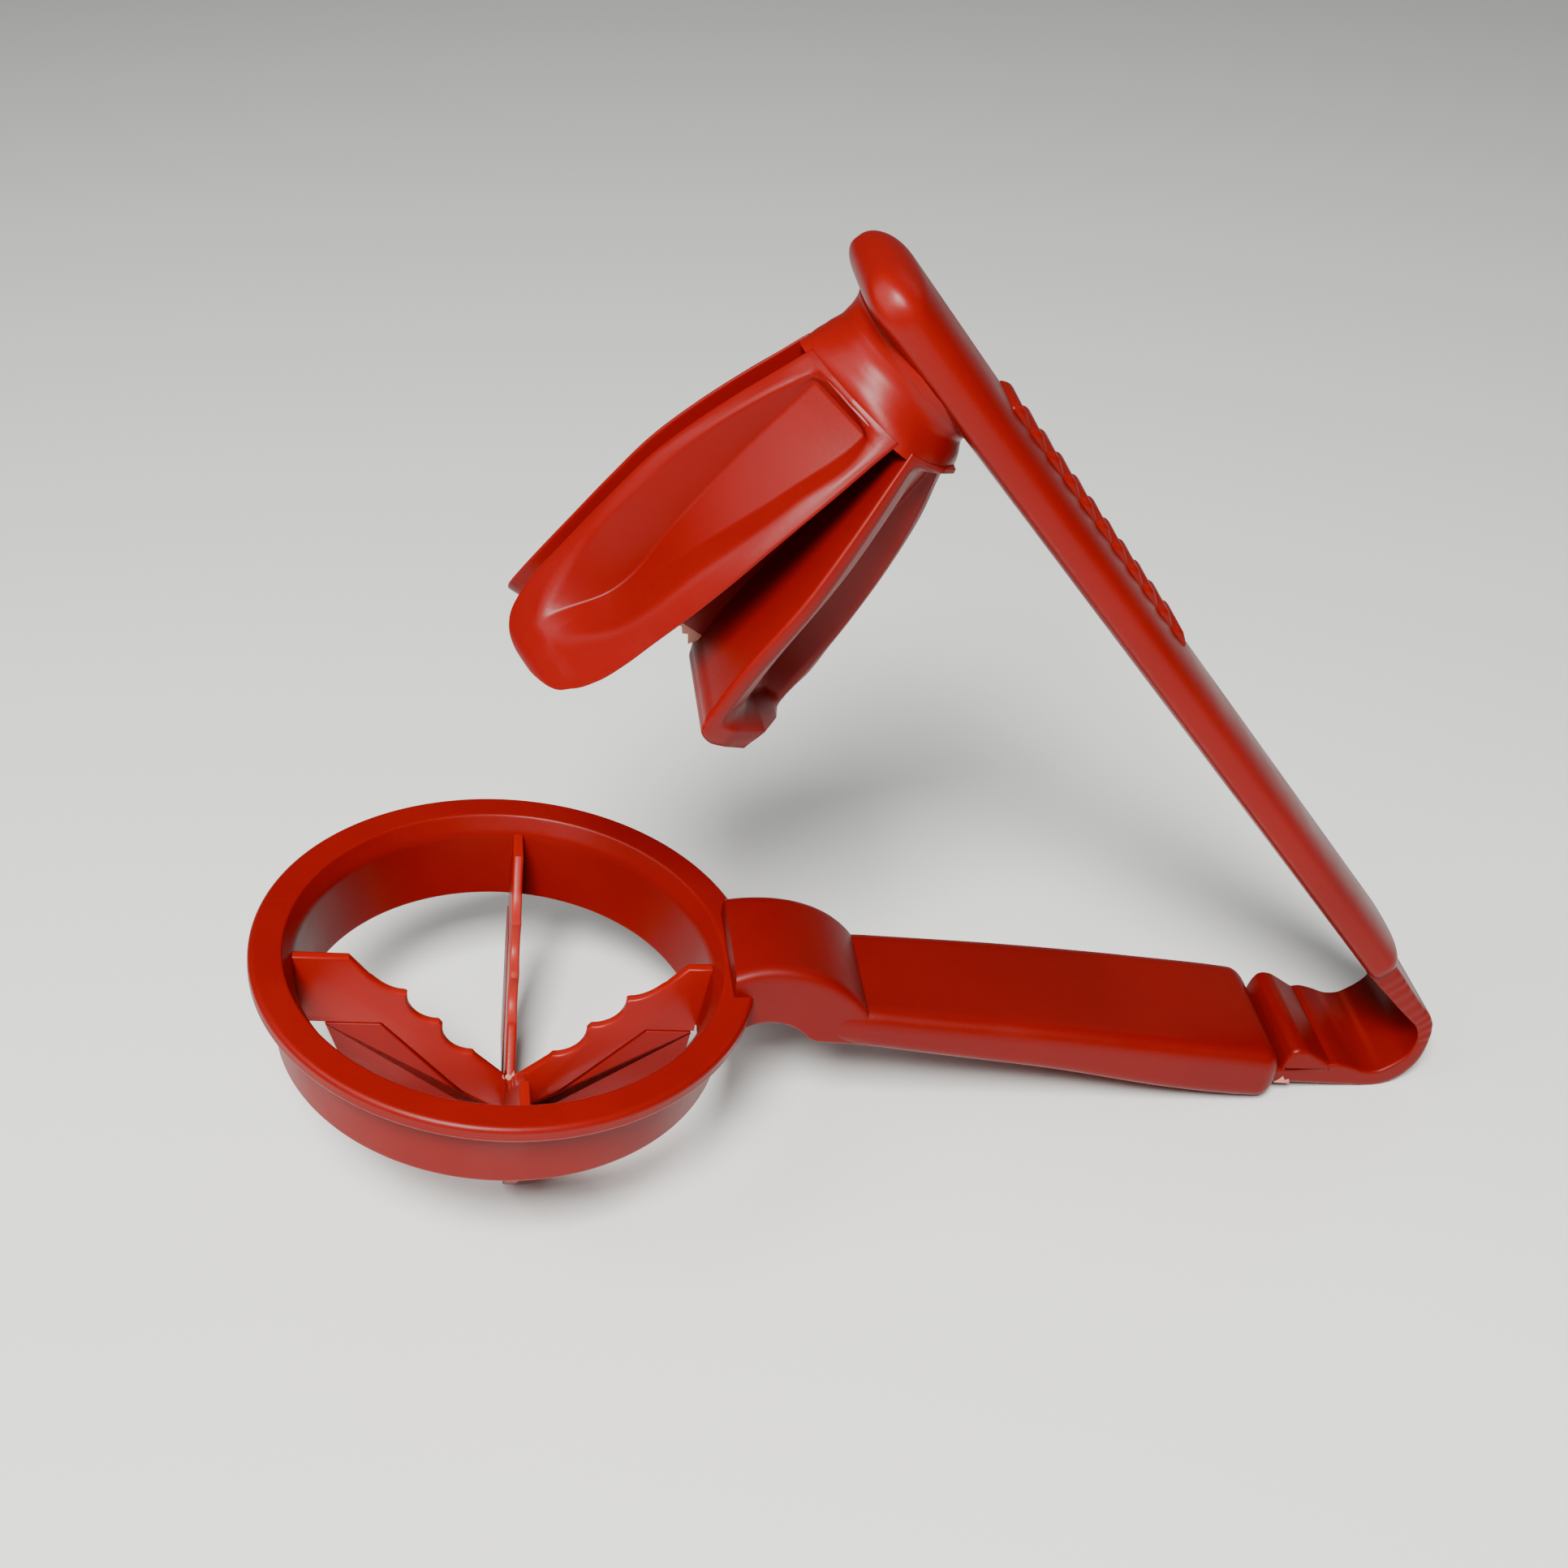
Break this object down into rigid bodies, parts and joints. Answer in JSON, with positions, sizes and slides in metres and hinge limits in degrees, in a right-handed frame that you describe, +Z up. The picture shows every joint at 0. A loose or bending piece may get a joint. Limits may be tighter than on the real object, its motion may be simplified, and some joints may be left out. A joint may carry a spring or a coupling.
{
  "type": "hinged fruit wedger",
  "caption": "Hand-squeezed plastic fruit wedger: a ring with crossed scalloped blades, and a hinged lever whose slotted plunger pushes the fruit through",
  "frame": {"origin": "centre of the bounding box's base, on the table the tool stands on", "axes": "+X from the blade ring towards the hinge, +Y to the far side, +Z up; the ring is tipped 8.6 degrees because the tool stands on its blade ribs and its hinge strap"},
  "size_m": [0.1704, 0.07, 0.1325],
  "materials": {
    "moulding": "satin moulded polypropylene"
  },
  "bodies": {
    "base": {"ring_wall": "moulding", "ring_flange": "moulding", "blade_left": "moulding", "blade_right": "moulding", "blade_near": "moulding", "blade_far": "moulding", "rib_left": "moulding", "rib_right": "moulding", "rib_near": "moulding", "rib_far": "moulding", "blade_hub": "moulding", "neck": "moulding", "lower_handle": "moulding", "strap_ridge": "moulding", "strap_lower": "moulding", "strap_bend": "moulding"},
    "lever": {"strap_upper": "moulding", "upper_handle": "moulding", "grip_ridges": "moulding", "collar": "moulding", "crown": "moulding", "core": "moulding", "pod_near_outer": "moulding", "pod_near_inner": "moulding", "pod_far_outer": "moulding", "pod_far_inner": "moulding"}
  },
  "joints": [
    {"name": "lever_hinge", "type": "hinge", "parent": "base", "child": "lever", "pos_m": [0.07718, 0, 0.011], "axis": [0, 1, 0], "range_deg": [-34, 45], "stiffness_Nm_per_rad": 0.12, "springref_deg": 6.88, "deforming": ["strap_bend"]}
  ]
}
